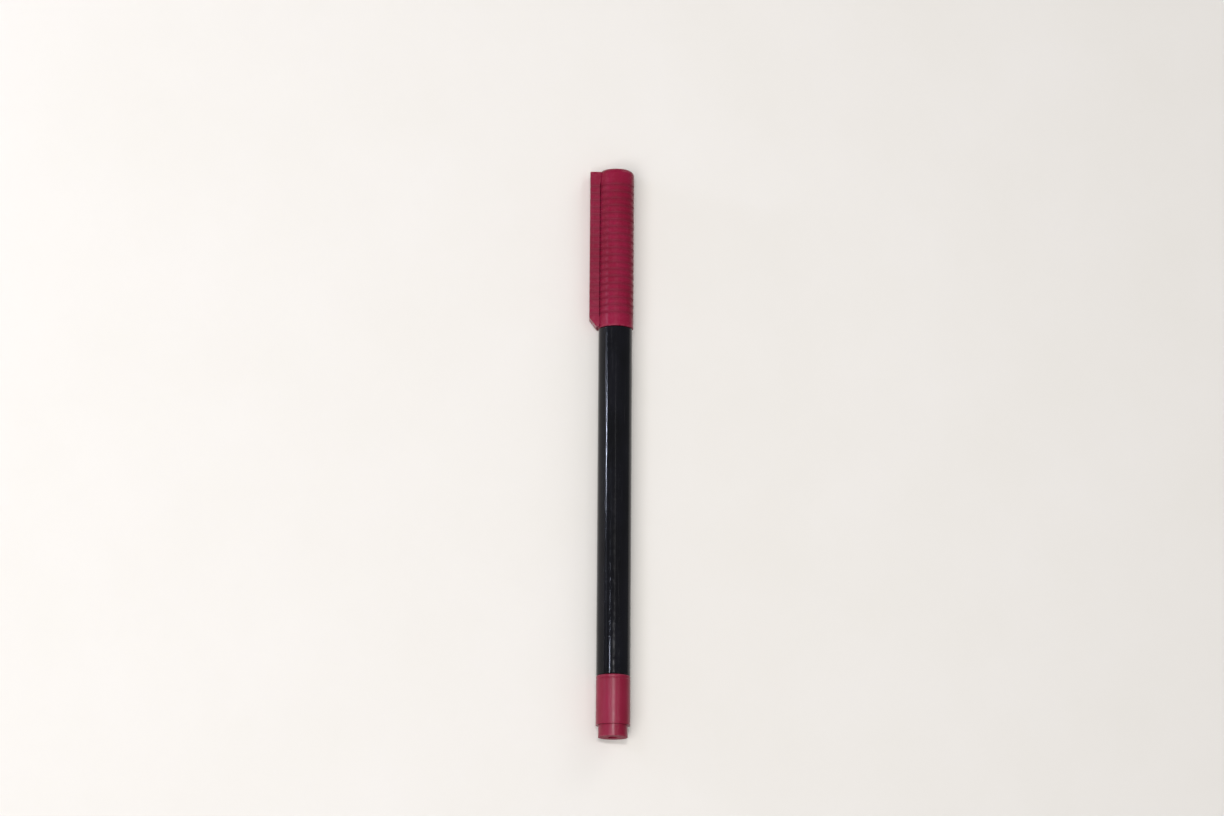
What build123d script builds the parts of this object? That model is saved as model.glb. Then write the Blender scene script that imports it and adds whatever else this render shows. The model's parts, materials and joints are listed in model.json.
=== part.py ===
"""A double-ended calligraphy marker: a soft brush tip and a hard fine tip fed by one fibre
reservoir, with a long ribbed cap carrying a pocket clip and a short cap with a posting stub.

Millimetres.  +X runs along the pen from the fine tip to the brush tip, +Z is up, and the origin
is on the pen's axis halfway along the barrel.  The marker lies on a table at rest, on the brush
cap and on one long edge of its pocket clip.
"""

from build123d import *

import os
from math import asin, atan2, degrees, hypot

os.makedirs("parts", exist_ok=True)

# --- Driving dimensions ---------------------------------------------------------------------------
overall_length = 167.0
brush_cap_length = 47.4
fine_cap_length = 17.6
brush_cap_radius = 5.2
barrel_radius = 4.9
fine_cap_radius = 4.92
barrel_bore = 4.05

# --- Places along the axis ------------------------------------------------------------------------
barrel_length = overall_length - brush_cap_length - fine_cap_length
brush_rim = barrel_length / 2
fine_rim = -barrel_length / 2
crown = brush_rim + brush_cap_length
heel = fine_rim - fine_cap_length

# --- Fits -----------------------------------------------------------------------------------------
running_gap = 0.03  # radial clearance of a click bead or sealing land in its cap
bead_height = 0.12
bead_half_length = 0.5
rod_gap = 0.02  # radial clearance round a pushed-in nib

# --- Barrel and reservoir -------------------------------------------------------------------------
plug_length = 9.0  # of each tip section, inside the barrel
plug_lead = 0.6  # length of the plugs' tapered lead-in
plug_lead_drop = 0.25
barrel_rim_chamfer = 0.25
barrel_rib_count = 6
barrel_rib_width = 0.6
barrel_rib_reach = 3.62  # radius of the ribs' inner edges
barrel_rib_root = barrel_bore + 0.2
barrel_rib_end = barrel_length / 2 - plug_length - 1.0
reservoir_radius = 3.5
reservoir_end = 40.0
socket_depth = 4.0
film_thickness = 0.08

# --- Brush end ------------------------------------------------------------------------------------
brush_seat_radius = 4.18
brush_seat_end = brush_rim + 10.0
brush_bead = brush_rim + 3.6
brush_shoulder_radius = 3.85  # where the seat's taper to the land changes
brush_land_radius = 3.3
brush_land_start = brush_seat_end + 3.4
brush_land_end = brush_seat_end + 6.2
brush_nose_radius = 2.7
brush_nose = brush_rim + 21.0  # where the nib leaves the section
brush_plug_end = brush_rim - plug_length
brush_nib_radius = 2.3
air_channel_count = 3
air_channel_width = 0.5
air_channel_depth = 0.18  # into the wall round the nib
brush_nib_tip = brush_nose + 12.6
brush_tip_round = 0.18
brush_nib_tail = reservoir_end - socket_depth
retainer_radius = 3.0
retainer_start = brush_plug_end + 0.9
retainer_end = brush_plug_end + 5.0
retainer_split = 0.7

# --- Fine end -------------------------------------------------------------------------------------
fine_seat_radius = 3.9
fine_seat_end = fine_rim - 5.5
fine_bead = fine_rim - 2.6
fine_land_radius = 2.45
fine_land_start = fine_seat_end - 2.0
fine_land_end = fine_seat_end - 3.6
fine_nozzle = fine_rim - 10.4  # front face of the section's nozzle
fine_nozzle_radius = 1.7
fine_plug_end = fine_rim + plug_length
fine_hollow_end = fine_plug_end - 7.0
fine_hollow_radius = 3.15
ferrule_radius = 1.25
ferrule_bore = 0.95
ferrule_back = fine_nozzle + 7.0
ferrule_front = fine_nozzle - 3.2
fine_rod_radius = 0.93
fine_point_radius = 0.55
fine_tip_round = 0.35
fine_point = ferrule_front - 1.7
fine_rod_tail = -reservoir_end + socket_depth

# --- Brush cap and its liner ----------------------------------------------------------------------
crown_inside = crown - 3.0
crown_round = 1.5
rim_round = 0.2
vent_radius = 1.5
brush_cap_mouth = brush_seat_radius + bead_height + running_gap
brush_cap_mouth_end = brush_rim + 13.0
brush_cap_bore = 4.1
groove_count = 19
groove_pitch = 2.126
groove_first = crown - 5.0
groove_depth = 0.08
groove_tool = 0.8  # radius of the round groove bottoms
brush_liner_mouth = brush_rim + 14.2
brush_liner_end = crown_inside - 1.8
brush_liner_radius = 3.95
brush_liner_bore = 3.4
brush_liner_floor = 0.8
liner_rib_count = 6
liner_rib_width = 0.7

# --- Fine cap and its liner -----------------------------------------------------------------------
stub_radius = 4.22
stub_start = heel + 3.4
step_round = 0.5
step_corner = 0.15
stub_round = 0.5
fine_rim_round = 0.3
rim_line = fine_rim - 1.0  # shallow ring groove behind the rim
fine_cap_mouth = fine_seat_radius + bead_height + running_gap
fine_cap_mouth_end = fine_rim - 6.6
fine_cap_bore = 3.3
fine_cap_end_wall = 1.2
fine_liner_mouth = fine_rim - 7.8
fine_liner_end = heel + 1.5
fine_liner_radius = 2.95
fine_liner_bore = fine_land_radius + running_gap
fine_liner_floor = 0.5

# --- Pocket clip ----------------------------------------------------------------------------------
clip_width = 5.2
clip_outer = 7.62  # distance of the clip's outer face from the pen's axis
clip_top = crown - 0.66
clip_tip = brush_rim + 0.2
clip_slope = 2.7  # length of the bevelled free end
clip_slope_drop = 2.1
clip_edge_round = 0.4
clip_rib_depth = 0.04
clip_foot_length = 2.6
clip_foot_gap = 0.08  # between the foot and the cap
clip_arm_gap = 0.25  # between the arm's hollow underside and the cap
clip_pad_gap = 0.1  # between the gripping pad and the cap
clip_lead_gap = 0.4  # at the free end, to let cloth in
clip_pad_start = clip_tip + 0.9
clip_pad_end = clip_tip + 2.3
clip_ramp = 1.2
core_width = 2.6
core_floor = 6.7  # distance of the cored-out channel's floor from the axis
core_start = clip_tip + 6.0
core_end = clip_top - clip_foot_length - 1.0
tongue_place = crown - 2.0
tongue_length = 1.2
tongue_width = 1.8
tongue_reach = 4.15  # distance of the tongue's end from the axis
tongue_gap = 0.1

# The clip's lower long edge touches the table that the brush cap lies on.
edge_out = clip_outer - clip_edge_round
edge_side = clip_width / 2 - clip_edge_round
clip_drop = degrees(
    asin((brush_cap_radius - clip_edge_round) / hypot(edge_out, edge_side))
    - atan2(edge_side, edge_out)
)

# In clip_plane x runs along the pen, y points out through the clip and z is across it.
clip_plane = Plane.XY.rotated((-clip_drop, 0, 0))
# In clip_top_plane x runs along the pen, y is across the clip and z points out through it.
clip_top_plane = Plane(origin=(0, 0, 0), x_dir=(1, 0, 0), z_dir=clip_plane.y_dir)

groove_places = [groove_first - i * groove_pitch for i in range(groove_count)]


def reach(edge):
    """Distance of an edge's middle from the pen's axis."""
    middle = edge.center(CenterOf.MASS)
    return round(hypot(middle.Y, middle.Z), 3)


# --- Barrel: a plain tube, with ribs inside that centre the reservoir and let air past it ---------
with BuildPart() as barrel:
    with BuildSketch(Plane.YZ.offset(fine_rim)):
        Circle(barrel_radius)
        Circle(barrel_bore, mode=Mode.SUBTRACT)
    extrude(amount=barrel_length)
    chamfer(barrel.edges().filter_by(GeomType.CIRCLE).sort_by(SortBy.RADIUS)[-2:], barrel_rim_chamfer)
    with BuildSketch(Plane.YZ.offset(-barrel_rib_end)):
        with PolarLocations((barrel_rib_reach + barrel_rib_root) / 2, barrel_rib_count):
            Rectangle(barrel_rib_root - barrel_rib_reach, barrel_rib_width)
    extrude(amount=2 * barrel_rib_end)
barrel.part.label = "barrel"


# --- Brush section: plug, cap seat with its click bead, sealing land and nose ---------------------
with BuildPart() as brush_section:
    with BuildSketch():
        with BuildLine():
            Polyline(
                (brush_plug_end, retainer_radius),
                (brush_plug_end, barrel_bore - plug_lead_drop),
                (brush_plug_end + plug_lead, barrel_bore),
                (brush_rim, barrel_bore),
                (brush_rim, brush_seat_radius),
                (brush_seat_end, brush_seat_radius),
                (brush_seat_end + 0.8, brush_shoulder_radius),
                (brush_land_start, brush_land_radius),
                (brush_land_end, brush_land_radius),
                (brush_nose - 0.4, brush_nose_radius + 0.2),
                (brush_nose, brush_nose_radius),
                (brush_nose, brush_nib_radius + rod_gap),
                (retainer_end, brush_nib_radius + rod_gap),
                (retainer_end, retainer_radius),
                close=True,
            )
        make_face()
        with Locations((brush_bead, brush_seat_radius)):
            Ellipse(bead_half_length, bead_height)
    revolve(axis=Axis.X)
    # Three narrow channels beside the nib let air back to the reservoir.
    with BuildSketch(Plane.YZ.offset(retainer_end)):
        with PolarLocations(brush_nib_radius, air_channel_count, start_angle=90):
            Rectangle(2 * air_channel_depth, air_channel_width)
    extrude(amount=brush_nose - retainer_end, mode=Mode.SUBTRACT)
brush_section.part.label = "brush_section"


# --- Brush nib: a rod of bonded fibre ground to a soft ogive point --------------------------------
with BuildPart() as brush_nib:
    with BuildSketch():
        with BuildLine():
            shoulder = (brush_nose + 0.6, brush_nib_radius)
            Polyline(
                (brush_nib_tip, 0),
                (brush_nib_tail, 0),
                (brush_nib_tail, brush_nib_radius - 0.4),
                (brush_nib_tail + 0.4, brush_nib_radius),
                shoulder,
            )
            flank_end = (brush_nib_tip - brush_tip_round, brush_tip_round)
            flank_middle = (0.5 * (shoulder[0] + flank_end[0]), 0.6 * brush_nib_radius)
            ThreePointArc(shoulder, flank_middle, flank_end)
            CenterArc((brush_nib_tip - brush_tip_round, 0), brush_tip_round, 0, 90)
        make_face()
    revolve(axis=Axis.X)
brush_nib.part.label = "brush_nib"


# --- Nib retainer: a split collar pressed into the back of the brush section ----------------------
with BuildPart() as brush_nib_retainer:
    with BuildSketch(Plane.YZ.offset(retainer_start)):
        Circle(retainer_radius)
        Circle(brush_nib_radius + rod_gap / 2, mode=Mode.SUBTRACT)
        with Locations((0, retainer_radius)):
            Rectangle(retainer_split, 2 * retainer_radius, mode=Mode.SUBTRACT)
    extrude(amount=retainer_end - retainer_start)
brush_nib_retainer.part.label = "brush_nib_retainer"


# --- Reservoir: a wadding core with a socket for each nib, in a skin of clear film ----------------
with BuildPart() as reservoir_core:
    with BuildSketch(Plane.YZ.offset(-reservoir_end)):
        Circle(reservoir_radius)
    extrude(amount=2 * reservoir_end)
    with BuildSketch(Plane.YZ.offset(brush_nib_tail)):
        Circle(brush_nib_radius)
    extrude(amount=socket_depth, mode=Mode.SUBTRACT)
    with BuildSketch(Plane.YZ.offset(fine_rod_tail)):
        Circle(fine_rod_radius)
    extrude(amount=-socket_depth, mode=Mode.SUBTRACT)
reservoir_core.part.label = "reservoir_core"

with BuildPart() as reservoir_film:
    with BuildSketch(Plane.YZ.offset(-reservoir_end)):
        Circle(reservoir_radius + film_thickness)
        Circle(reservoir_radius, mode=Mode.SUBTRACT)
    extrude(amount=2 * reservoir_end)
reservoir_film.part.label = "reservoir_film"


# --- Fine section: plug, cap seat with its click bead, sealing land and nozzle --------------------
with BuildPart() as fine_section:
    with BuildSketch():
        with BuildLine():
            Polyline(
                (fine_plug_end, fine_hollow_radius),
                (fine_plug_end, barrel_bore - plug_lead_drop),
                (fine_plug_end - plug_lead, barrel_bore),
                (fine_rim, barrel_bore),
                (fine_rim, fine_seat_radius),
                (fine_seat_end, fine_seat_radius),
                (fine_land_start, fine_land_radius),
                (fine_land_end, fine_land_radius),
                (fine_nozzle, fine_nozzle_radius),
                (fine_nozzle, ferrule_radius),
                (ferrule_back, ferrule_radius),
                (ferrule_back, fine_rod_radius + rod_gap),
                (fine_hollow_end, fine_rod_radius + rod_gap),
                (fine_hollow_end, fine_hollow_radius),
                close=True,
            )
        make_face()
        with Locations((fine_bead, fine_seat_radius)):
            Ellipse(bead_half_length, bead_height)
    revolve(axis=Axis.X)
fine_section.part.label = "fine_section"


# --- Fine tip: a hard fibre rod in a drawn metal ferrule ------------------------------------------
with BuildPart() as fine_nib_ferrule:
    with BuildSketch():
        with BuildLine():
            Polyline(
                (ferrule_back, ferrule_bore),
                (ferrule_back, ferrule_radius),
                (ferrule_front + 1.1, ferrule_radius),
                (ferrule_front, fine_point_radius + 0.3),
                (ferrule_front, fine_point_radius + rod_gap),
                (ferrule_front + 0.7, ferrule_bore),
                close=True,
            )
        make_face()
    revolve(axis=Axis.X)
fine_nib_ferrule.part.label = "fine_nib_ferrule"

with BuildPart() as fine_nib:
    with BuildSketch():
        with BuildLine():
            Polyline(
                (fine_point, 0),
                (fine_rod_tail, 0),
                (fine_rod_tail, fine_rod_radius - 0.2),
                (fine_rod_tail - 0.3, fine_rod_radius),
                (ferrule_front + 0.75, fine_rod_radius),
                (ferrule_front + 0.05, fine_point_radius),
                (ferrule_front - 0.9, fine_point_radius),
                (fine_point + fine_tip_round, fine_tip_round),
            )
            CenterArc((fine_point + fine_tip_round, 0), fine_tip_round, 90, 90)
        make_face()
    revolve(axis=Axis.X)
fine_nib.part.label = "fine_nib"


# --- Brush cap: ribbed shell with a vented crown and a slot for the clip's tongue -----------------
with BuildPart() as brush_cap:
    with BuildSketch():
        with BuildLine():
            Polyline(
                (brush_rim, brush_cap_mouth + 0.2),
                (brush_rim, brush_cap_radius),
                (crown, brush_cap_radius),
                (crown, vent_radius),
                (crown_inside, vent_radius),
                (crown_inside, brush_cap_bore),
                (brush_cap_mouth_end + 0.8, brush_cap_bore),
                (brush_cap_mouth_end, brush_cap_mouth),
                (brush_rim + 0.2, brush_cap_mouth),
                close=True,
            )
        make_face()
        with Locations(*[(x, brush_cap_radius + groove_tool - groove_depth) for x in groove_places]):
            Circle(groove_tool, mode=Mode.SUBTRACT)
        # The click groove that the bead rests in while the cap is home.
        with Locations((brush_bead, brush_cap_mouth)):
            Ellipse(bead_half_length + 0.3, bead_height, mode=Mode.SUBTRACT)
    revolve(axis=Axis.X)
    outer_rims = brush_cap.edges().filter_by(GeomType.CIRCLE)
    outer_rims = outer_rims.filter_by(lambda edge: abs(edge.radius - brush_cap_radius) < 1e-4)
    outer_rims = outer_rims.sort_by(Axis.X)
    fillet(outer_rims[-1], crown_round)
    fillet(outer_rims[0], rim_round)
    slot_floor = tongue_reach - tongue_gap
    with BuildSketch(clip_top_plane.offset(slot_floor)):
        with Locations((tongue_place, 0)):
            Rectangle(tongue_length + 2 * tongue_gap, tongue_width + 2 * tongue_gap)
    extrude(amount=clip_outer - slot_floor, mode=Mode.SUBTRACT)
brush_cap.part.label = "brush_cap"


# --- Brush cap liner: an inner cup, held on ribs, that seals on the section's land ----------------
with BuildPart() as brush_cap_liner:
    with BuildSketch():
        with BuildLine():
            Polyline(
                (brush_liner_mouth, brush_liner_bore + 0.25),
                (brush_liner_mouth, brush_liner_radius - 0.15),
                (brush_liner_mouth + 0.4, brush_liner_radius),
                (brush_liner_end, brush_liner_radius),
                (brush_liner_end, 0),
                (brush_liner_end - brush_liner_floor, 0),
                (brush_liner_end - brush_liner_floor, brush_liner_bore),
                (brush_liner_mouth + 2.2, brush_liner_bore),
                (brush_liner_mouth + 1.8, brush_land_radius + running_gap),
                (brush_liner_mouth + 0.5, brush_land_radius + running_gap),
                close=True,
            )
        make_face()
    revolve(axis=Axis.X)
    with BuildSketch(Plane.YZ.offset(brush_liner_mouth + 2.5)):
        with PolarLocations(brush_cap_bore - 0.2, liner_rib_count):
            Rectangle(0.6, liner_rib_width)
        Circle(brush_cap_bore, mode=Mode.INTERSECT)
    extrude(amount=brush_liner_end - brush_liner_mouth - 2.5)
brush_cap_liner.part.label = "brush_cap_liner"


# --- Fine cap: smooth stepped shell with a vented end ---------------------------------------------
with BuildPart() as fine_cap:
    with BuildSketch():
        with BuildLine():
            Polyline(
                (fine_rim, fine_cap_mouth + 0.2),
                (fine_rim, fine_cap_radius),
                (stub_start, fine_cap_radius),
                (stub_start, stub_radius),
                (heel, stub_radius),
                (heel, vent_radius),
                (heel + fine_cap_end_wall, vent_radius),
                (heel + fine_cap_end_wall, fine_cap_bore),
                (fine_cap_mouth_end - 0.8, fine_cap_bore),
                (fine_cap_mouth_end, fine_cap_mouth),
                (fine_rim - 0.2, fine_cap_mouth),
                close=True,
            )
        corners = make_face().vertices()
        fillet(corners.sort_by_distance((fine_rim, fine_cap_radius))[0], fine_rim_round)
        fillet(corners.sort_by_distance((stub_start, fine_cap_radius))[0], step_round)
        fillet(corners.sort_by_distance((stub_start, stub_radius))[0], step_corner)
        fillet(corners.sort_by_distance((heel, stub_radius))[0], stub_round)
        with Locations((rim_line, fine_cap_radius + 0.1)):
            Circle(0.2, mode=Mode.SUBTRACT)
        # The click groove that the bead rests in while the cap is home.
        with Locations((fine_bead, fine_cap_mouth)):
            Ellipse(bead_half_length + 0.3, bead_height, mode=Mode.SUBTRACT)
    revolve(axis=Axis.X)
fine_cap.part.label = "fine_cap"


# --- Fine cap liner: an inner cup, held on ribs, that seals on the fine section's land ------------
with BuildPart() as fine_cap_liner:
    with BuildSketch():
        with BuildLine():
            Polyline(
                (fine_liner_mouth, fine_liner_bore + 0.2),
                (fine_liner_mouth, fine_liner_radius),
                (fine_liner_end, fine_liner_radius),
                (fine_liner_end, 0),
                (fine_liner_end + fine_liner_floor, 0),
                (fine_liner_end + fine_liner_floor, fine_liner_bore),
                (fine_liner_mouth - 0.3, fine_liner_bore),
                close=True,
            )
        make_face()
    revolve(axis=Axis.X)
    with BuildSketch(Plane.YZ.offset(fine_liner_end)):
        with PolarLocations(fine_cap_bore - 0.3, liner_rib_count):
            Rectangle(0.8, liner_rib_width)
        Circle(fine_cap_bore, mode=Mode.INTERSECT)
    extrude(amount=fine_liner_mouth - fine_liner_end - 1.0)
fine_cap_liner.part.label = "fine_cap_liner"


# --- Pocket clip: a cored arm that hugs the cap, with a foot and a tongue that root it in the crown ---
with BuildPart() as pocket_clip:
    slope_start = clip_tip + clip_slope
    with BuildSketch(clip_plane):
        with BuildLine():
            Polyline(
                (clip_top, tongue_reach),
                (clip_top, clip_outer),
                (slope_start, clip_outer),
                (clip_tip, clip_outer - clip_slope_drop),
                (clip_tip, tongue_reach),
                close=True,
            )
        corners = make_face().vertices()
        fillet(corners.sort_by_distance((slope_start, clip_outer))[0], 1.0)
        fillet(corners.sort_by_distance((clip_top, clip_outer))[0], 0.25)
    extrude(amount=clip_width / 2, both=True)
    fillet(pocket_clip.edges().filter_by(Axis.X).group_by(reach)[-1], clip_edge_round)
    # The cap's ribs carried on across the clip's outer face and down both of its sides.
    with BuildSketch(clip_plane.offset(-clip_width)):
        with Locations(*[(x, clip_outer + groove_tool - clip_rib_depth) for x in groove_places]):
            Circle(groove_tool)
    extrude(amount=2 * clip_width, mode=Mode.SUBTRACT)
    with BuildSketch(clip_top_plane.offset(tongue_reach)):
        groove_middle = clip_width / 2 + groove_tool - clip_rib_depth
        with Locations(*[(x, side * groove_middle) for x in groove_places for side in (-1, 1)]):
            Circle(groove_tool)
    extrude(amount=clip_outer - tongue_reach, mode=Mode.SUBTRACT)
    # The underside is hollowed to the round of the cap: lead-in, gripping pad, arm and foot.
    foot_start = clip_top - clip_foot_length
    with BuildSketch():
        with BuildLine():
            Polyline(
                (clip_tip, 0),
                (clip_tip, brush_cap_radius + clip_lead_gap),
                (clip_pad_start, brush_cap_radius + clip_pad_gap),
                (clip_pad_end, brush_cap_radius + clip_pad_gap),
                (clip_pad_end + clip_ramp, brush_cap_radius + clip_arm_gap),
                (foot_start - clip_ramp, brush_cap_radius + clip_arm_gap),
                (foot_start, brush_cap_radius + clip_foot_gap),
                (crown + clip_foot_gap, brush_cap_radius + clip_foot_gap),
                (crown + clip_foot_gap, 0),
                close=True,
            )
        corners = make_face().vertices()
        shoulder = corners.sort_by_distance((crown + clip_foot_gap, brush_cap_radius + clip_foot_gap))[0]
        fillet(shoulder, crown_round + clip_foot_gap)
    revolve(axis=Axis.X, mode=Mode.SUBTRACT)
    # Channel cored out of the arm's underside.
    with BuildSketch(clip_top_plane.offset(tongue_reach)):
        with Locations(((core_start + core_end) / 2, 0)):
            SlotOverall(core_end - core_start, core_width)
    extrude(amount=core_floor - tongue_reach, mode=Mode.SUBTRACT)
    with BuildSketch(clip_top_plane.offset(tongue_reach)):
        with Locations((tongue_place, 0)):
            Rectangle(tongue_length, tongue_width)
    extrude(amount=core_floor - tongue_reach)
pocket_clip.part.label = "pocket_clip"


pieces = [
    barrel,
    brush_section,
    brush_nib,
    brush_nib_retainer,
    reservoir_core,
    reservoir_film,
    fine_section,
    fine_nib_ferrule,
    fine_nib,
    brush_cap,
    brush_cap_liner,
    fine_cap,
    fine_cap_liner,
    pocket_clip,
]
for piece in pieces:
    export_step(piece.part, f"parts/{piece.part.label}.step")
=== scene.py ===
"""The double-ended calligraphy marker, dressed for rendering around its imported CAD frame.

Metres, in the part's own frame: +X along the pen towards the brush tip, +Z up.
"""

import json
import math

import bpy
from mathutils import Matrix, Vector, noise


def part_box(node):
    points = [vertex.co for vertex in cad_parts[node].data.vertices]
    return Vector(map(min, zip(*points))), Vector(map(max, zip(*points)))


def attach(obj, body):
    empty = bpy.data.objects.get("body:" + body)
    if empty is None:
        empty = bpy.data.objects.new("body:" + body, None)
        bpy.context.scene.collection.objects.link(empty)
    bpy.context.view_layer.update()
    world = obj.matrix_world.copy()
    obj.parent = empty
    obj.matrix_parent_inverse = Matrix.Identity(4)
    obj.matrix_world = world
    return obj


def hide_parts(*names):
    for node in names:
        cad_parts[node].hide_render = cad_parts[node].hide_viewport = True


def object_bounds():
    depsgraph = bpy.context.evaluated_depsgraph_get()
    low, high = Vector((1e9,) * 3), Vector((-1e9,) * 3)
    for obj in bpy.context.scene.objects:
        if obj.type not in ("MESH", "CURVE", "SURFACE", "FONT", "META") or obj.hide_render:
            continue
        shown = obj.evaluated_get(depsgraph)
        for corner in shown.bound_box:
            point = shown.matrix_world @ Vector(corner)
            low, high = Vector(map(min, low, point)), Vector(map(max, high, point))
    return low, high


MM = 0.001

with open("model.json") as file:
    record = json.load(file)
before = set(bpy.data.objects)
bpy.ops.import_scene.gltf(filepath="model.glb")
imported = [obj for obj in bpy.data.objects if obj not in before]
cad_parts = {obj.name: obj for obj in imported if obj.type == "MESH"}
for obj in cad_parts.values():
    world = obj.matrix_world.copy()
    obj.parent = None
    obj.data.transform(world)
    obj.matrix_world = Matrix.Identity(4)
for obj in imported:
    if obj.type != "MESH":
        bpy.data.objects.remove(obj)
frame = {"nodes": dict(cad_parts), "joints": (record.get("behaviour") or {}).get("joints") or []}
nodes = frame["nodes"]
cad_box = [list(corner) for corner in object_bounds()]
rest_height = cad_box[0][2]

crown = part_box("brush_cap")[1].x
brush_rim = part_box("brush_cap")[0].x
fine_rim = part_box("barrel")[0].x
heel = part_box("fine_cap")[0].x
barrel_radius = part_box("barrel")[1].z

# The clip flexes about a line that runs straight across its root. That line's direction, reversed,
# is also the direction from which the clip is seen side-on, as the camera sees it.
clip_flex = next(joint for joint in frame["joints"] if joint["name"] == "clip_flex")
clip_across = -Vector(clip_flex["axis"])


# --- Camera ---------------------------------------------------------------------------------

CAMERA_ROUND = math.atan2(clip_across.y, clip_across.z) + math.radians(0.5)  # towards the clip
CAMERA_ALONG = math.radians(13)  # towards the fine tip
CAMERA_LEAN = math.radians(0.374)
CAMERA_DISTANCE = 1.3
FRAME_WIDTH = 0.35324  # at the pen
PEN_RIGHT = 0.774 * MM  # of the middle of the frame
PEN_BELOW = 12.344 * MM
SENSOR = 36.0


def facing(turn):
    """The direction straight out from the pen's axis, turned from straight up towards the clip."""
    return Vector((0, math.sin(turn), math.cos(turn)))


def make_camera():
    """The pen stands upright in the frame with its clip on the left, seen a little from its foot."""
    level = facing(CAMERA_ROUND)
    back = math.cos(CAMERA_ALONG) * level - Vector((math.sin(CAMERA_ALONG), 0, 0))
    up = math.sin(CAMERA_ALONG) * level + Vector((math.cos(CAMERA_ALONG), 0, 0))
    up = Matrix.Rotation(CAMERA_LEAN, 3, back) @ up
    right = up.cross(back)
    middle = Vector(((crown + heel) / 2, 0, 0))
    place = middle + CAMERA_DISTANCE * back - PEN_RIGHT * right + PEN_BELOW * up
    data = bpy.data.cameras.new("camera")
    data.sensor_width = SENSOR
    data.lens = SENSOR * CAMERA_DISTANCE / FRAME_WIDTH
    data.clip_start = 0.01
    camera = bpy.data.objects.new("camera", data)
    bpy.context.scene.collection.objects.link(camera)
    turn = Matrix((right, up, back)).transposed()
    camera.matrix_world = Matrix.Translation(place) @ turn.to_4x4()
    bpy.context.scene.camera = camera
    return place


camera_place = make_camera()


# --- Materials ------------------------------------------------------------------------------

FIRST_GROOVE = crown - 5 * MM
GROOVES = 19
GROOVE_PITCH = 2.126 * MM
# Two distances from the middle of a groove: within the first the effect is full, beyond the second
# there is none. The first pair is for the painted shade in the grooves, the second for their dull
# walls.
PAINTED_GROOVE_SHADE_REACH = (0, 1.0 * MM)
GROOVE_WALL_REACH = (0.38 * MM, 0.5 * MM)
GROOVE_WALL_ROUGHNESS = 0.6
RUB_REACH = 0.6 * MM  # from a rubbed edge to where the rubbing ends
RUB_STRENGTH = 0.35
HAIRLINE_STRENGTH = 0.4
FACE_DEPTH = 0.1 * MM  # how far into the part a matte end face fades
FACE_ROUGHNESS = 0.7
FLOW_DEPTH = 0.004 * MM  # unevenness of a moulded skin


class Graph:
    """A material's node graph, with short calls for the nodes used here."""

    def __init__(self, name):
        self.material = bpy.data.materials.new(name)
        self.material.use_nodes = True
        self.tree = self.material.node_tree
        self.tree.nodes.clear()
        self.output = self.node("ShaderNodeOutputMaterial")
        self.shader = self.node("ShaderNodeBsdfPrincipled")
        self.link(self.shader.outputs["BSDF"], self.output.inputs["Surface"])
        self.place = self.node("ShaderNodeTexCoord").outputs["Object"]

    def node(self, kind, **settings):
        made = self.tree.nodes.new(kind)
        for key, value in settings.items():
            setattr(made, key, value)
        return made

    def link(self, source, target):
        self.tree.links.new(source, target)

    def fill(self, socket, value):
        if isinstance(value, bpy.types.NodeSocket):
            self.link(value, socket)
        else:
            socket.default_value = value

    def scaled(self, factors):
        """The place on the object, multiplied axis by axis."""
        made = self.node("ShaderNodeMapping")
        self.link(self.place, made.inputs["Vector"])
        made.inputs["Scale"].default_value = factors
        return made.outputs["Vector"]

    def along(self):
        """The place along the pen."""
        made = self.node("ShaderNodeSeparateXYZ")
        self.link(self.place, made.inputs["Vector"])
        return made.outputs["X"]

    def noise(self, per_metre, detail=3.0, roughness=0.55, stretch=(1, 1, 1)):
        made = self.node("ShaderNodeTexNoise")
        self.link(self.scaled([per_metre * s for s in stretch]), made.inputs["Vector"])
        made.inputs["Scale"].default_value = 1.0
        made.inputs["Detail"].default_value = detail
        made.inputs["Roughness"].default_value = roughness
        return made.outputs["Fac"]

    def ramp(self, value, low, high, to_low=0.0, to_high=1.0):
        made = self.node("ShaderNodeMapRange", clamp=True)
        self.fill(made.inputs["Value"], value)
        made.inputs["From Min"].default_value = low
        made.inputs["From Max"].default_value = high
        made.inputs["To Min"].default_value = to_low
        made.inputs["To Max"].default_value = to_high
        return made.outputs["Result"]

    def math(self, operation, first, second=0.0):
        made = self.node("ShaderNodeMath", operation=operation)
        self.fill(made.inputs[0], first)
        self.fill(made.inputs[1], second)
        return made.outputs["Value"]

    def mix(self, share, first, second):
        made = self.node("ShaderNodeMix", data_type="RGBA")
        self.fill(made.inputs["Factor"], share)
        self.fill(made.inputs["A"], first)
        self.fill(made.inputs["B"], second)
        return made.outputs["Result"]

    def near(self, places, reach):
        """1 at each of these places along the pen, falling to 0 at that distance from them."""
        total = 0.0
        for place in places:
            gap = self.math("ABSOLUTE", self.math("SUBTRACT", self.along(), place))
            total = self.math("MAXIMUM", self.ramp(gap, 0, reach, 1, 0), total)
        return total

    def in_grooves(self, full, none):
        """1 within full of the middle of each ring groove on the cap and its clip, 0 beyond none."""
        last = FIRST_GROOVE - (GROOVES - 1) * GROOVE_PITCH
        gap = self.math("PINGPONG", self.math("SUBTRACT", self.along(), last), GROOVE_PITCH / 2)
        line = self.ramp(gap, full, none, 1, 0)
        middle = (FIRST_GROOVE + last) / 2
        reach = (GROOVES * GROOVE_PITCH) / 2
        off_middle = self.math("ABSOLUTE", self.math("SUBTRACT", self.along(), middle))
        return self.math("MULTIPLY", line, self.math("LESS_THAN", off_middle, reach))

    def bump(self, height, depth, below=None):
        made = self.node("ShaderNodeBump")
        self.fill(made.inputs["Height"], height)
        made.inputs["Distance"].default_value = depth
        if below is not None:
            self.link(below, made.inputs["Normal"])
        return made.outputs["Normal"]

    def set(self, **values):
        for key, value in values.items():
            self.fill(self.shader.inputs[key.replace("_", " ")], value)


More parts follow.
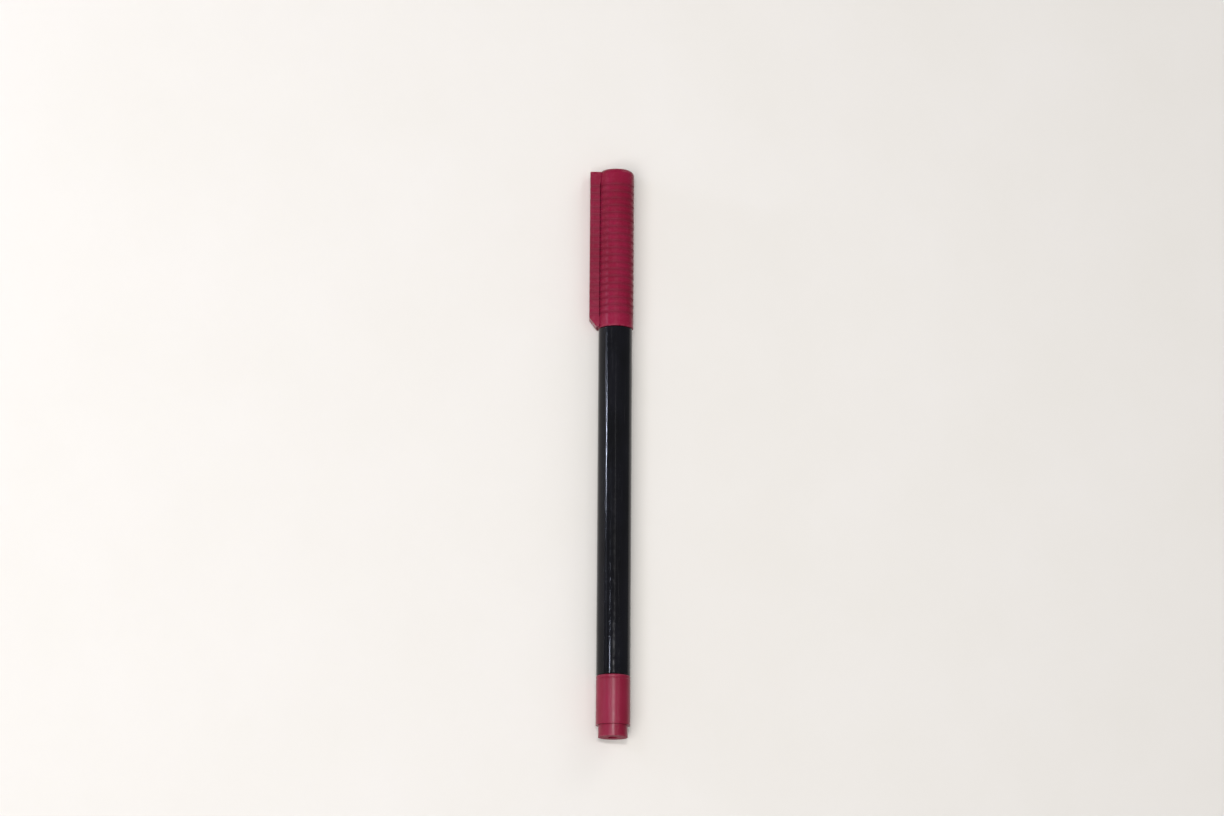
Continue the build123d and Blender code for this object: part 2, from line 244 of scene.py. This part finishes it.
def colour(red, green, blue):
    """Linear colour from 0 to 255 display values."""
    linear = []
    for value in (red, green, blue):
        value /= 255
        linear.append(value / 12.92 if value <= 0.04045 else ((value + 0.055) / 1.055) ** 2.4)
    return (*linear, 1.0)


def moulded_plastic(
    name, deep, pale, roughness, grain, rubbed=(), painted_groove_shade=0.0, matte_end=None, gloss_level=0.5
):
    """Injection-moulded plastic: slow flow shading, a fine skin, hairlines drawn along the pen, rubbed
    edges at the places given, painted shade in the ring grooves, dull groove walls, and a dull end
    face at matte_end."""
    g = Graph(name)
    scuffed = [min(0.9, 1.3 * c + 0.07) for c in pale[:3]] + [1.0]
    flow = g.ramp(g.noise(180, detail=2.0, stretch=(0.35, 1, 1)), 0.35, 0.65)
    speck = g.ramp(g.noise(5000, detail=2.0), 0.4, 0.6, -0.5, 0.5)
    base = g.mix(g.math("ADD", flow, g.math("MULTIPLY", speck, 0.25)), deep, pale)
    hairlines = g.ramp(g.noise(5600, detail=2.0, stretch=(0.012, 1, 1)), 0.66, 0.72)
    # Painted shade: the base colour is darkened towards black in each ring groove, where shade falls.
    if painted_groove_shade:
        line = g.in_grooves(*PAINTED_GROOVE_SHADE_REACH)
        base = g.mix(g.math("MULTIPLY", line, painted_groove_shade), base, (0, 0, 0, 1))
    worn = g.math("MULTIPLY", g.near(rubbed, RUB_REACH), g.ramp(g.noise(900), 0.42, 0.6))
    worn = g.math("MAXIMUM", worn, g.math("MULTIPLY", hairlines, HAIRLINE_STRENGTH))
    g.set(Base_Color=g.mix(g.math("MULTIPLY", worn, RUB_STRENGTH), base, scuffed))
    wear = g.ramp(g.noise(700, detail=4.0), 0.35, 0.7, roughness - 0.05, roughness + 0.06)
    dull = g.math("ADD", wear, g.math("MULTIPLY", worn, 0.12))
    if painted_groove_shade:
        walls = g.in_grooves(*GROOVE_WALL_REACH)
        dull = g.math("MAXIMUM", dull, g.math("MULTIPLY", walls, GROOVE_WALL_ROUGHNESS))
    if matte_end is not None:
        face = g.ramp(g.along(), matte_end, matte_end + FACE_DEPTH, FACE_ROUGHNESS, 0)
        dull = g.math("MAXIMUM", dull, face)
    g.set(Roughness=dull)
    fine = g.bump(g.noise(9000, detail=2.0), grain)
    g.set(Normal=g.bump(g.noise(260, detail=1.0), FLOW_DEPTH, below=fine))
    g.set(Specular_IOR_Level=gloss_level)
    return g


def bonded_fibre(name, deep, pale, per_metre, tip=None):
    """Bundled fibre soaked with ink: strands drawn along the pen, wetter and deeper towards the tip."""
    g = Graph(name)
    strands = g.ramp(g.noise(per_metre, detail=3.0, stretch=(0.04, 1, 1)), 0.36, 0.64)
    stain = g.ramp(g.noise(700, detail=2.0, stretch=(0.4, 1, 1)), 0.35, 0.65)
    base = g.mix(g.math("MULTIPLY", strands, g.ramp(stain, 0, 1, 0.55, 1.0)), deep, pale)
    if tip is not None:
        base = g.mix(g.math("MULTIPLY", g.near([tip], 6 * MM), 0.5), base, deep)
    g.set(Base_Color=base, Roughness=g.ramp(strands, 0, 1, 0.55, 0.85))
    g.set(Normal=g.bump(strands, 0.03 * MM))
    g.set(Sheen_Weight=0.25, Sheen_Roughness=0.4, Specular_IOR_Level=0.35)
    return g


def drawn_steel(name):
    """A drawn stainless tube: fine bright lines along it, with a little tarnish."""
    g = Graph(name)
    lines = g.ramp(g.noise(9000, detail=2.0, stretch=(0.02, 1, 1)), 0.35, 0.65)
    tarnish = g.ramp(g.noise(1200), 0.4, 0.7)
    bright = g.mix(lines, colour(176, 175, 172), colour(212, 210, 206))
    g.set(Base_Color=g.mix(g.math("MULTIPLY", tarnish, 0.3), bright, colour(150, 144, 136)))
    g.set(Roughness=g.ramp(lines, 0, 1, 0.2, 0.34), Normal=g.bump(lines, 0.002 * MM))
    g.set(Metallic=1.0, Anisotropic=0.4)
    return g


cap_red = moulded_plastic(
    "cap_crimson",
    deep=colour(120, 17, 44),
    pale=colour(130, 24, 54),
    roughness=0.27,
    grain=0.003 * MM,
    rubbed=(brush_rim, crown),
    # how strongly the painted shade darkens the ring grooves
    painted_groove_shade=0.26,
    gloss_level=0.14,
)
clip_red = moulded_plastic(
    "clip_crimson",
    deep=colour(119, 20, 46),
    pale=colour(129, 26, 55),
    roughness=0.27,
    grain=0.003 * MM,
    rubbed=(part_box("pocket_clip")[0].x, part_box("pocket_clip")[1].x),
    # how strongly the painted shade darkens the clip's grooves
    painted_groove_shade=0.2,
    gloss_level=0.18,
)
gloss_red = moulded_plastic(
    "fine_cap_crimson",
    deep=colour(118, 15, 43),
    pale=colour(129, 22, 53),
    roughness=0.33,
    grain=0.001 * MM,
    rubbed=(heel, fine_rim),
    matte_end=heel,
    gloss_level=0.26,
)
black = moulded_plastic(
    "barrel_black",
    deep=colour(10, 10, 13),
    pale=colour(16, 16, 21),
    roughness=0.11,
    grain=0.0006 * MM,
    gloss_level=0.18,
)
section_black = moulded_plastic(
    "section_black",
    deep=colour(15, 15, 17),
    pale=colour(22, 22, 25),
    roughness=0.3,
    grain=0.003 * MM,
)
natural = moulded_plastic(
    "natural_plastic",
    deep=colour(206, 202, 190),
    pale=colour(222, 219, 209),
    roughness=0.36,
    grain=0.004 * MM,
)
film = moulded_plastic(
    "film_clear",
    deep=colour(220, 214, 214),
    pale=colour(232, 226, 226),
    roughness=0.12,
    grain=0.001 * MM,
)
film.set(Alpha=0.35)
brush_ink = bonded_fibre(
    "brush_fibre",
    deep=colour(92, 6, 30),
    pale=colour(150, 26, 56),
    per_metre=5200,
    tip=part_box("brush_nib")[1].x,
)
fine_ink = bonded_fibre(
    "fine_fibre",
    deep=colour(84, 6, 28),
    pale=colour(132, 22, 50),
    per_metre=9000,
    tip=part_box("fine_nib")[0].x,
)
wadding_ink = bonded_fibre(
    "reservoir_fibre",
    deep=colour(126, 18, 46),
    pale=colour(186, 78, 100),
    per_metre=3600,
)
steel = drawn_steel("ferrule_steel")

dressed = {
    "brush_cap": cap_red,
    "pocket_clip": clip_red,
    "fine_cap": gloss_red,
    "barrel": black,
    "brush_section": section_black,
    "fine_section": section_black,
    "brush_cap_liner": natural,
    "fine_cap_liner": natural,
    "brush_nib_retainer": natural,
    "brush_nib": brush_ink,
    "fine_nib": fine_ink,
    "reservoir_core": wadding_ink,
    "reservoir_film": film,
    "fine_nib_ferrule": steel,
}
for node, graph in dressed.items():
    nodes[node].data.materials.clear()
    nodes[node].data.materials.append(graph.material)


# --- Fibre parts ------------------------------------------------------------------------------

RING_STEP = 0.35 * MM  # between rings of points along a rod
STRAND_LENGTH = 4 * MM


def stations(outline):
    """An outline of (x, radius, depth) with more points put between its corners."""
    made = [outline[0]]
    for start, end in zip(outline, outline[1:]):
        steps = max(1, math.ceil(math.dist(start[:2], end[:2]) / RING_STEP))
        for step in range(1, steps + 1):
            share = step / steps
            made.append(tuple(a + share * (b - a) for a, b in zip(start, end)))
    return made


def fibre_rod(name, outline, around, strands):
    """A rod of fibres turned about the pen's axis. The outline's (x, radius, depth) run from one end of
    the axis to the other, and depth is how far the gaps between strands go in."""
    points = []
    rings = []
    for x, radius, depth in stations(outline):
        first = len(points)
        count = around if radius > 0 else 1
        rings.append(range(first, first + count))
        for i in range(count):
            out = facing(2 * math.pi * i / count)
            spot = Vector((x / STRAND_LENGTH, strands * out.y, strands * out.z))
            inset = depth * min(1, max(0, 0.5 + 1.2 * noise.noise(spot)))
            points.append(Vector((x, 0, 0)) + (radius - inset if radius > 0 else 0) * out)
    faces = []
    for one, two in zip(rings, rings[1:]):
        for i in range(around):
            j = (i + 1) % around
            corners = [one[i % len(one)], one[j % len(one)], two[j % len(two)], two[i % len(two)]]
            faces.append(list(dict.fromkeys(corners)))
    mesh = bpy.data.meshes.new(name)
    mesh.from_pydata(points, [], faces)
    for face in mesh.polygons:
        face.use_smooth = True
    mesh.validate()
    mesh.update()
    rod = bpy.data.objects.new(name, mesh)
    bpy.context.scene.collection.objects.link(rod)
    return rod


def stand_in(rod, node):
    """The fibre rod takes the place of a plain CAD solid, on the pen's own body."""
    rod.data.materials.append(dressed[node].material)
    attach(rod, "pen_body")
    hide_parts(node)


def brush_tip():
    """The soft tip: a parallel rod that closes to a point in one curve, outside the section."""
    low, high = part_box("brush_nib")
    radius = high.z
    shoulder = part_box("brush_section")[1].x + 0.6 * MM
    point_start = high.x - 0.18 * MM
    edge = 0.4 * MM
    gaps = 0.05 * MM
    outline = [(low.x, 0, 0), (low.x, radius - edge, gaps), (low.x + edge, radius, gaps)]
    outline.append((shoulder, radius, gaps))
    curve_steps = 24
    for step in range(1, curve_steps):
        share = step / curve_steps
        size = 1 - 0.68 * share - 0.24 * share**2
        x = shoulder + share * (point_start - shoulder)
        outline.append((x, 0.99 * size * radius, gaps * (0.3 + 0.7 * size)))
    outline += [(point_start, 0.17 * MM, 0), (high.x - 0.05 * MM, 0.12 * MM, 0), (high.x, 0, 0)]
    return fibre_rod("brush_tip_fibre", outline, around=144, strands=11)


def fine_tip():
    """The hard tip: a thin rod that narrows inside the ferrule and comes out as a short blunt point."""
    low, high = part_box("fine_nib")
    ferrule_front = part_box("fine_nib_ferrule")[0].x
    radius = high.z
    neck_radius = 0.55 * MM
    point_radius = 0.35 * MM
    gaps = 0.015 * MM
    outline = [
        (high.x, 0, 0),
        (high.x, radius - 0.2 * MM, gaps),
        (high.x - 0.3 * MM, radius, gaps),
        (ferrule_front + 0.75 * MM, radius, gaps),
        (ferrule_front + 0.05 * MM, neck_radius, gaps),
        (ferrule_front - 0.9 * MM, neck_radius, gaps),
        (low.x + point_radius, point_radius, gaps),
    ]
    for degrees in (30, 60):
        turn = math.radians(degrees)
        x = low.x + point_radius * (1 - math.sin(turn))
        outline.append((x, point_radius * math.cos(turn), 0))
    outline.append((low.x, 0, 0))
    return fibre_rod("fine_tip_fibre", outline, around=72, strands=7)


def wadding():
    """The ink reservoir's wadding, with a socket at each end that its nib is pushed into."""
    low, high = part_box("reservoir_core")
    radius = high.z
    brush_end, brush_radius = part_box("brush_nib")[0].x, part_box("brush_nib")[1].z
    fine_end, fine_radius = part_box("fine_nib")[1].x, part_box("fine_nib")[1].z
    edge = 0.3 * MM
    creases = 0.12 * MM
    outline = [
        (brush_end, 0, 0),
        (brush_end, brush_radius, 0),
        (high.x, brush_radius, 0),
        (high.x, radius - edge, creases),
        (high.x - edge, radius, creases),
        (low.x + edge, radius, creases),
        (low.x, radius - edge, creases),
        (low.x, fine_radius, 0),
        (fine_end, fine_radius, 0),
        (fine_end, 0, 0),
    ]
    return fibre_rod("ink_wadding", outline, around=96, strands=6)


stand_in(brush_tip(), "brush_nib")
stand_in(fine_tip(), "fine_nib")
stand_in(wadding(), "reservoir_core")


# --- Floor and light --------------------------------------------------------------------------


def make_floor():
    g = Graph("floor_paper")
    mottle = g.ramp(g.noise(25, detail=4.0), 0.3, 0.7)
    g.set(Base_Color=g.mix(mottle, colour(227, 222, 215), colour(229, 224, 218)), Roughness=0.9)
    g.set(Normal=g.bump(g.noise(2500), 0.02 * MM))
    mesh = bpy.data.meshes.new("floor")
    half = 4.0  # of the floor's side
    corners = [(-half, -half, 0), (half, -half, 0), (half, half, 0), (-half, half, 0)]
    mesh.from_pydata(corners, [], [(0, 1, 2, 3)])
    mesh.materials.append(g.material)
    floor = bpy.data.objects.new("floor", mesh)
    floor.location.z = rest_height
    bpy.context.scene.collection.objects.link(floor)


WHITE = (1.0, 1.0, 1.0)
COOL = (0.72, 0.78, 1.0)  # the tint of window light


def lamp(name, place, along, length, width, power, tint=WHITE):
    """A rectangular area light at that place, aimed at the pen, its length in the direction given."""
    data = bpy.data.lights.new(name, "AREA")
    data.shape = "RECTANGLE"
    data.size = length
    data.size_y = width
    data.energy = power
    data.color = tint
    light = bpy.data.objects.new(name, data)
    back = place.normalized()
    across = back.cross(along).normalized()
    rotation = Matrix((across.cross(back), across, back)).transposed()
    light.matrix_world = Matrix.Translation(place) @ rotation.to_4x4()
    bpy.context.scene.collection.objects.link(light)


def softbox(name, round_pen, along_pen, distance, length, width, power):
    """A wide soft lamp. round_pen turns it from straight above towards the clip's side, and along_pen
    from there towards the crown, in degrees."""
    tilt = math.radians(along_pen)
    back = math.cos(tilt) * facing(math.radians(round_pen)) + Vector((math.sin(tilt), 0, 0))
    lamp(name, distance * back, Vector((1, 0, 0)), length, width, power)


def mirrored(x, turn, distance):
    """Where the camera sees a reflection from, in the barrel's surface at x. turn is how far round
    towards the clip the reflecting line lies from the camera's side, in degrees."""
    normal = facing(CAMERA_ROUND + math.radians(turn))
    spot = Vector((x, 0, 0)) + barrel_radius * normal
    sight = (camera_place - spot).normalized()
    return spot + distance * (2 * normal.dot(sight) * normal - sight)


def strip(name, start, end, distance, width, radiance, tint=WHITE):
    """A narrow lamp whose reflection in the barrel runs from start to end, each an (x, turn)."""
    first = mirrored(*start, distance)
    last = mirrored(*end, distance)
    length = (last - first).length
    power = radiance * math.pi * length * width
    lamp(name, (first + last) / 2, (last - first).normalized(), length, width, power, tint)


def make_world():
    """A dim, slightly cool light from all round."""
    world = bpy.data.worlds.new("studio")
    world.use_nodes = True
    background = world.node_tree.nodes["Background"]
    background.inputs["Color"].default_value = (0.95, 0.97, 1.0, 1.0)
    background.inputs["Strength"].default_value = 0.3
    bpy.context.scene.world = world


make_floor()
make_world()
bpy.context.scene.view_settings.view_transform = "Standard"
softbox("key", round_pen=36, along_pen=-17, distance=2.4, length=1.2, width=0.9, power=31)
softbox("fill", round_pen=-50, along_pen=50, distance=2.4, length=1.0, width=1.2, power=9)

# Each strip's reflection runs from the first (x, turn) to the second. The two at the foot lie beyond
# the pen's end, so the glossy barrel doesn't show them, and the fine cap's duller skin does.
CLOSE, FAR = 0.6, 1.0
FOOT_START, FOOT_END = heel - 10 * MM, heel - 52 * MM
strip("upper_streak", (42 * MM, 33.4), (31 * MM, 33), CLOSE, width=0.035, radiance=30, tint=COOL)
strip("upper_glint", (19 * MM, 29), (14 * MM, 28.5), CLOSE, width=0.045, radiance=290, tint=COOL)
strip("long_streak", (2 * MM, 29), (-44 * MM, 24), CLOSE, width=0.03, radiance=1, tint=COOL)
strip("lower_glint", (-49 * MM, 12.5), (-58 * MM, 12.5), 0.8, width=0.04, radiance=240, tint=COOL)
strip("foot_glint", (FOOT_START, -1), (FOOT_END, -1), FAR, width=0.2, radiance=72)
strip("foot_glow", (FOOT_START, -17), (FOOT_END, -17), FAR, width=0.2, radiance=11)
strip("faint_streak", (36 * MM, -2), (-40 * MM, -4), FAR, width=0.03, radiance=3)
strip("cap_streak", (crown, 14), (brush_rim, 13), FAR, width=0.03, radiance=4)

bpy.context.view_layer.update()
